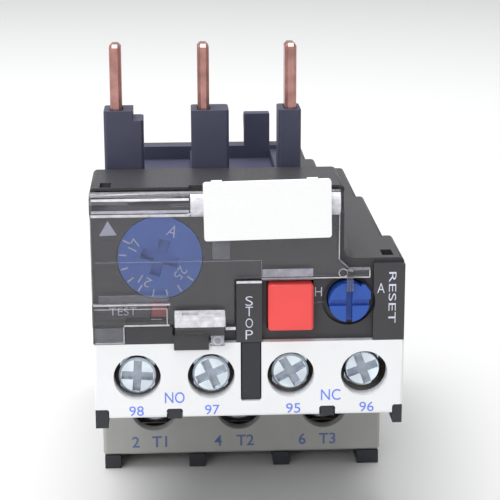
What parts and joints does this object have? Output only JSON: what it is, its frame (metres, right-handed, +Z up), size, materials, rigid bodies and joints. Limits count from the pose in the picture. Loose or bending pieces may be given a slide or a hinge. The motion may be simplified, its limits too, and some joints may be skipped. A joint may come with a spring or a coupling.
{
  "type": "thermal overload relay",
  "caption": "Three-pole thermal overload relay with setting dial, stop, reset and test controls, hinged clear cover and contactor pins.",
  "frame": {"origin": "centre of the bounding box at the underside of the barrier feet", "axes": "+X to the right seen from the front, +Y to the rear, +Z up; the dial and buttons face -Y"},
  "size_m": [0.045, 0.07, 0.0705],
  "materials": {
    "black_plastic": "matte moulded polyamide",
    "white_plastic": "satin moulded plastic",
    "label_white": "smooth blank label plate",
    "grey_plastic": "matte moulded plastic",
    "clear_plastic": "clear polycarbonate",
    "dial_blue": "satin moulded plastic",
    "knob_blue": "satin moulded plastic",
    "stop_red": "satin moulded plastic",
    "test_red": "satin moulded plastic",
    "slide_plastic": "plain moulded plastic",
    "steel": "spring steel",
    "zinc_steel": "bright zinc plate",
    "contact_brass": "brass",
    "copper": "bare copper",
    "bimetal": "bimetal strip",
    "heater": "resistance strip on a sleeve"
  },
  "bodies": {
    "relay": {"front_cover": "black_plastic", "middle_housing": "black_plastic", "rear_housing": "black_plastic", "main_terminal_block": "black_plastic", "main_terminal_cover": "grey_plastic", "terminal_shroud": "white_plastic", "aux_terminal_block": "black_plastic", "pin_carrier": "black_plastic", "mechanism_chassis": "black_plastic", "lever_pin": "steel", "stop_spring": "steel", "reset_spring": "steel", "phase_conductor_1": "copper", "bimetal_strip_1": "bimetal", "heater_winding_1": "heater", "outlet_conductor_1": "copper", "phase_conductor_2": "copper", "bimetal_strip_2": "bimetal", "heater_winding_2": "heater", "outlet_conductor_2": "copper", "phase_conductor_3": "copper", "bimetal_strip_3": "bimetal", "heater_winding_3": "heater", "outlet_conductor_3": "copper", "aux_plate_98": "contact_brass", "aux_plate_97": "contact_brass", "aux_plate_95": "contact_brass", "aux_plate_96": "contact_brass"},
    "dial": {"setting_dial": "dial_blue", "setting_cam": "dial_blue"},
    "adjusting_slider": {"adjusting_slider": "slide_plastic"},
    "stop_button": {"stop_button": "stop_red"},
    "reset_plunger": {"reset_plunger": "knob_blue"},
    "reset_knob": {"reset_knob": "knob_blue"},
    "test_button": {"test_button": "test_red"},
    "clear_cover": {"clear_cover": "clear_plastic", "label_plate": "label_white"},
    "trip_slide": {"trip_slide": "slide_plastic"},
    "differential_slide": {"differential_slide": "slide_plastic"},
    "compensating_lever": {"compensating_lever": "black_plastic"},
    "trip_latch": {"trip_latch": "slide_plastic"},
    "contact_carrier": {"contact_carrier": "black_plastic", "contact_bridge_open": "contact_brass", "contact_bridge_closed": "contact_brass"},
    "main_clamp_1": {"main_clamp_1": "zinc_steel"},
    "main_screw_1": {"main_screw_1": "zinc_steel"},
    "main_clamp_2": {"main_clamp_2": "zinc_steel"},
    "main_screw_2": {"main_screw_2": "zinc_steel"},
    "main_clamp_3": {"main_clamp_3": "zinc_steel"},
    "main_screw_3": {"main_screw_3": "zinc_steel"},
    "aux_clamp_98": {"aux_clamp_98": "zinc_steel"},
    "aux_screw_98": {"aux_screw_98": "zinc_steel"},
    "aux_clamp_97": {"aux_clamp_97": "zinc_steel"},
    "aux_screw_97": {"aux_screw_97": "zinc_steel"},
    "aux_clamp_95": {"aux_clamp_95": "zinc_steel"},
    "aux_screw_95": {"aux_screw_95": "zinc_steel"},
    "aux_clamp_96": {"aux_clamp_96": "zinc_steel"},
    "aux_screw_96": {"aux_screw_96": "zinc_steel"}
  },
  "joints": [
    {"name": "dial_turn", "type": "hinge", "parent": "relay", "child": "dial", "pos_m": [-0.0126, -0.0313, 0.04215], "axis": [0, 1, 0], "range_deg": [0, 171.1]},
    {"name": "adjusting_lift", "type": "slide", "parent": "relay", "child": "adjusting_slider", "axis": [0, 0, -1], "range_m": [0, 0.0015]},
    {"name": "stop_press", "type": "slide", "parent": "relay", "child": "stop_button", "axis": [0, 1, 0], "range_m": [0, 0.0015], "stiffness_N_per_m": 500, "springref_m": -0.0006, "deforming": ["stop_spring"]},
    {"name": "reset_press", "type": "slide", "parent": "relay", "child": "reset_plunger", "axis": [0, 1, 0], "range_m": [0, 0.0015], "stiffness_N_per_m": 500, "springref_m": -0.0006, "deforming": ["reset_spring"]},
    {"name": "reset_turn", "type": "hinge", "parent": "reset_plunger", "child": "reset_knob", "pos_m": [0.0143, -0.0325, 0.0355], "axis": [0, 1, 0], "range_deg": [0, 90]},
    {"name": "test_press", "type": "slide", "parent": "relay", "child": "test_button", "axis": [0, 1, 0], "range_m": [0, 0.0012], "stiffness_N_per_m": 300, "springref_m": -0.0006},
    {"name": "cover_open", "type": "hinge", "parent": "relay", "child": "clear_cover", "pos_m": [0, -0.0323, 0.0502], "axis": [-1, 0, 0], "range_deg": [0, 70]},
    {"name": "trip_travel", "type": "slide", "parent": "relay", "child": "trip_slide", "axis": [-1, 0, 0], "range_m": [0, 0.002], "stiffness_N_per_m": 120, "springref_m": -0.0005},
    {"name": "differential_travel", "type": "slide", "parent": "relay", "child": "differential_slide", "axis": [-1, 0, 0], "range_m": [0, 0.00201]},
    {"name": "lever_turn", "type": "hinge", "parent": "relay", "child": "compensating_lever", "pos_m": [-0.0164, -0.0005, 0.0399], "axis": [0, 0, 1], "range_deg": [0, 7.9]},
    {"name": "latch_travel", "type": "slide", "parent": "relay", "child": "trip_latch", "axis": [1, 0, 0], "range_m": [0, 0.00201]},
    {"name": "contact_travel", "type": "slide", "parent": "relay", "child": "contact_carrier", "axis": [0, 1, 0], "range_m": [0, 0.00116]},
    {"name": "main_clamp_1_travel", "type": "slide", "parent": "relay", "child": "main_clamp_1", "axis": [0, 1, 0], "range_m": [-0.002, 0.0016]},
    {"name": "main_screw_1_turn", "type": "hinge", "parent": "main_clamp_1", "child": "main_screw_1", "pos_m": [-0.01415, -0.0325, 0.0102], "axis": [0, 1, 0], "range_deg": [-1029.1, 823.4]},
    {"name": "main_clamp_2_travel", "type": "slide", "parent": "relay", "child": "main_clamp_2", "axis": [0, 1, 0], "range_m": [-0.002, 0.0016]},
    {"name": "main_screw_2_turn", "type": "hinge", "parent": "main_clamp_2", "child": "main_screw_2", "pos_m": [-0.00045, -0.0325, 0.0102], "axis": [0, 1, 0], "range_deg": [-1029.1, 823.4]},
    {"name": "main_clamp_3_travel", "type": "slide", "parent": "relay", "child": "main_clamp_3", "axis": [0, 1, 0], "range_m": [-0.002, 0.0016]},
    {"name": "main_screw_3_turn", "type": "hinge", "parent": "main_clamp_3", "child": "main_screw_3", "pos_m": [0.01325, -0.0325, 0.0102], "axis": [0, 1, 0], "range_deg": [-1029.1, 823.4]},
    {"name": "aux_clamp_98_travel", "type": "slide", "parent": "relay", "child": "aux_clamp_98", "axis": [0, 1, 0], "range_m": [-0.0001, 0.0032]},
    {"name": "aux_screw_98_turn", "type": "hinge", "parent": "aux_clamp_98", "child": "aux_screw_98", "pos_m": [-0.01615, -0.0325, 0.02465], "axis": [0, 1, 0], "range_deg": [-60.5, 1920.5]},
    {"name": "aux_clamp_97_travel", "type": "slide", "parent": "relay", "child": "aux_clamp_97", "axis": [0, 1, 0], "range_m": [-0.0002, 0.0031]},
    {"name": "aux_screw_97_turn", "type": "hinge", "parent": "aux_clamp_97", "child": "aux_screw_97", "pos_m": [-0.0055, -0.0325, 0.02465], "axis": [0, 1, 0], "range_deg": [-120.5, 1860.5]},
    {"name": "aux_clamp_95_travel", "type": "slide", "parent": "relay", "child": "aux_clamp_95", "axis": [0, 1, 0], "range_m": [-0.0007, 0.0026]},
    {"name": "aux_screw_95_turn", "type": "hinge", "parent": "aux_clamp_95", "child": "aux_screw_95", "pos_m": [0.006, -0.0325, 0.02465], "axis": [0, 1, 0], "range_deg": [-420.5, 1560.5]},
    {"name": "aux_clamp_96_travel", "type": "slide", "parent": "relay", "child": "aux_clamp_96", "axis": [0, 1, 0], "range_m": [-0.0015, 0.0018]},
    {"name": "aux_screw_96_turn", "type": "hinge", "parent": "aux_clamp_96", "child": "aux_screw_96", "pos_m": [0.01665, -0.0325, 0.02465], "axis": [0, 1, 0], "range_deg": [-900.5, 1080.5]}
  ],
  "couplings": [
    {"joint": "dial_turn", "follows": "adjusting_lift", "rad_per_m": 1989.7},
    {"joint": "differential_travel", "follows": "trip_travel", "ratio": 1},
    {"joint": "lever_turn", "follows": "trip_travel", "rad_per_m": 68},
    {"joint": "latch_travel", "follows": "trip_travel", "ratio": 1},
    {"joint": "contact_travel", "follows": "trip_travel", "ratio": 0.575},
    {"joint": "main_screw_1_turn", "follows": "main_clamp_1_travel", "rad_per_m": 8976},
    {"joint": "main_screw_2_turn", "follows": "main_clamp_2_travel", "rad_per_m": 8976},
    {"joint": "main_screw_3_turn", "follows": "main_clamp_3_travel", "rad_per_m": 8976},
    {"joint": "aux_screw_98_turn", "follows": "aux_clamp_98_travel", "rad_per_m": 10472},
    {"joint": "aux_screw_97_turn", "follows": "aux_clamp_97_travel", "rad_per_m": 10472},
    {"joint": "aux_screw_95_turn", "follows": "aux_clamp_95_travel", "rad_per_m": 10472},
    {"joint": "aux_screw_96_turn", "follows": "aux_clamp_96_travel", "rad_per_m": 10472}
  ]
}
